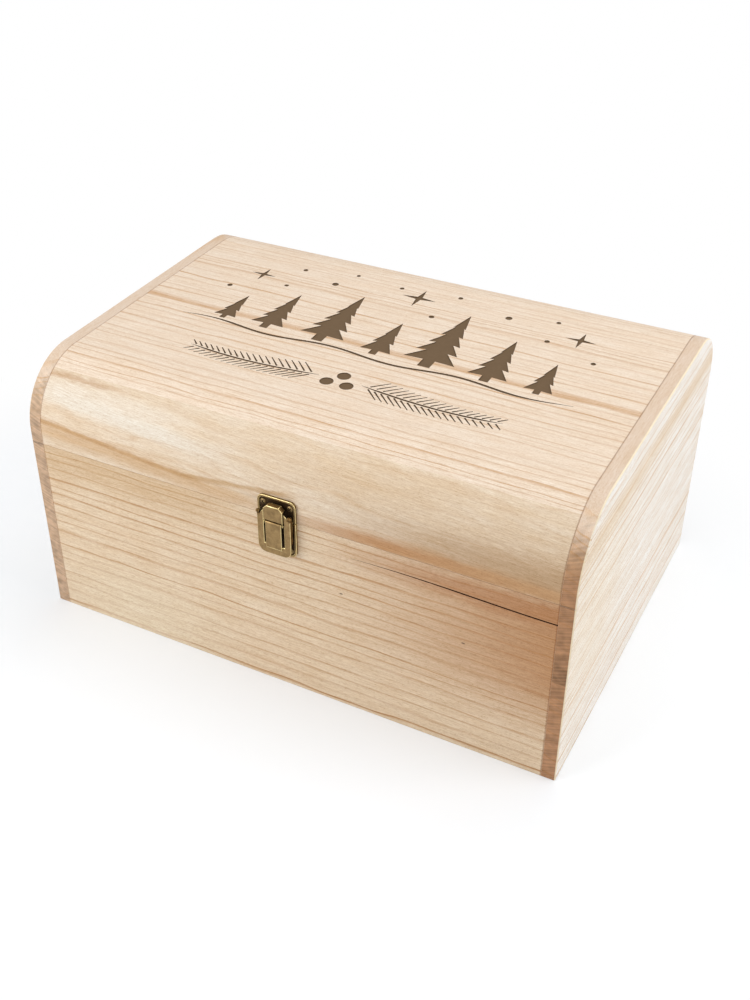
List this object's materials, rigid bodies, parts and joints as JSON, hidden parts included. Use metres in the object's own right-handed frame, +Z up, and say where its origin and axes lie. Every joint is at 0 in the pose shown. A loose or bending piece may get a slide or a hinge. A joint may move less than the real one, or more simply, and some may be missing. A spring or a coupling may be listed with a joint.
{
  "type": "keepsake box",
  "caption": "Wooden keepsake box with a hinged lid rounded at front and back, butt-jointed ends, a brass draw latch and stop hinges.",
  "frame": {"origin": "centre of the flat underside", "axes": "+X to the right along the long side, +Y to the back, +Z up; the latch is on the -Y face"},
  "size_m": [0.35, 0.2609, 0.175],
  "materials": {
    "top_wood": "sanded, unvarnished, straight grain",
    "rail_wood": "sanded, unvarnished, flat-sawn grain",
    "wall_wood": "sanded, unvarnished, straight grain",
    "end_wood": "sanded, unvarnished, end grain at the front",
    "panel_wood": "sanded thin panel",
    "antique_brass": "antique, dark in recesses, worn bright at edges",
    "screw_brass": "antique",
    "pin_brass": "antique"
  },
  "bodies": {
    "base": {"base_front_board": "wall_wood", "base_back_board": "wall_wood", "base_left_end": "end_wood", "base_right_end": "end_wood", "base_bottom_panel": "panel_wood", "latch_base_plate": "antique_brass", "latch_base_screws": "screw_brass", "latch_lever_rivets": "pin_brass", "hinge_left_base_leaf": "antique_brass", "hinge_right_base_leaf": "antique_brass", "hinge_left_pin": "pin_brass", "hinge_right_pin": "pin_brass", "hinge_base_screws": "screw_brass"},
    "lid": {"lid_top_board": "top_wood", "lid_front_rail": "rail_wood", "lid_back_rail": "rail_wood", "lid_left_end": "end_wood", "lid_right_end": "end_wood", "latch_keeper_plate": "antique_brass", "latch_keeper_screws": "screw_brass", "hinge_left_lid_leaf": "antique_brass", "hinge_right_lid_leaf": "antique_brass", "hinge_lid_screws": "screw_brass"},
    "latch_lever": {"latch_lever": "antique_brass", "latch_hook_pin": "pin_brass"},
    "latch_hook": {"latch_hook": "antique_brass"}
  },
  "joints": [
    {"name": "lid_hinge", "type": "hinge", "parent": "base", "child": "lid", "pos_m": [0, 0.1271, 0.125], "axis": [-1, 0, 0], "range_deg": [0, 105]},
    {"name": "latch_lever_pivot", "type": "hinge", "parent": "base", "child": "latch_lever", "pos_m": [0, -0.1294, 0.1296], "axis": [-1, 0, 0], "range_deg": [0, 90]},
    {"name": "latch_hook_pivot", "type": "hinge", "parent": "latch_lever", "child": "latch_hook", "pos_m": [0, -0.1298, 0.1238], "axis": [-1, 0, 0], "range_deg": [-99, 0]}
  ],
  "couplings": [
    {"joint": "latch_hook_pivot", "follows": "latch_lever_pivot", "ratio": -1.1}
  ]
}
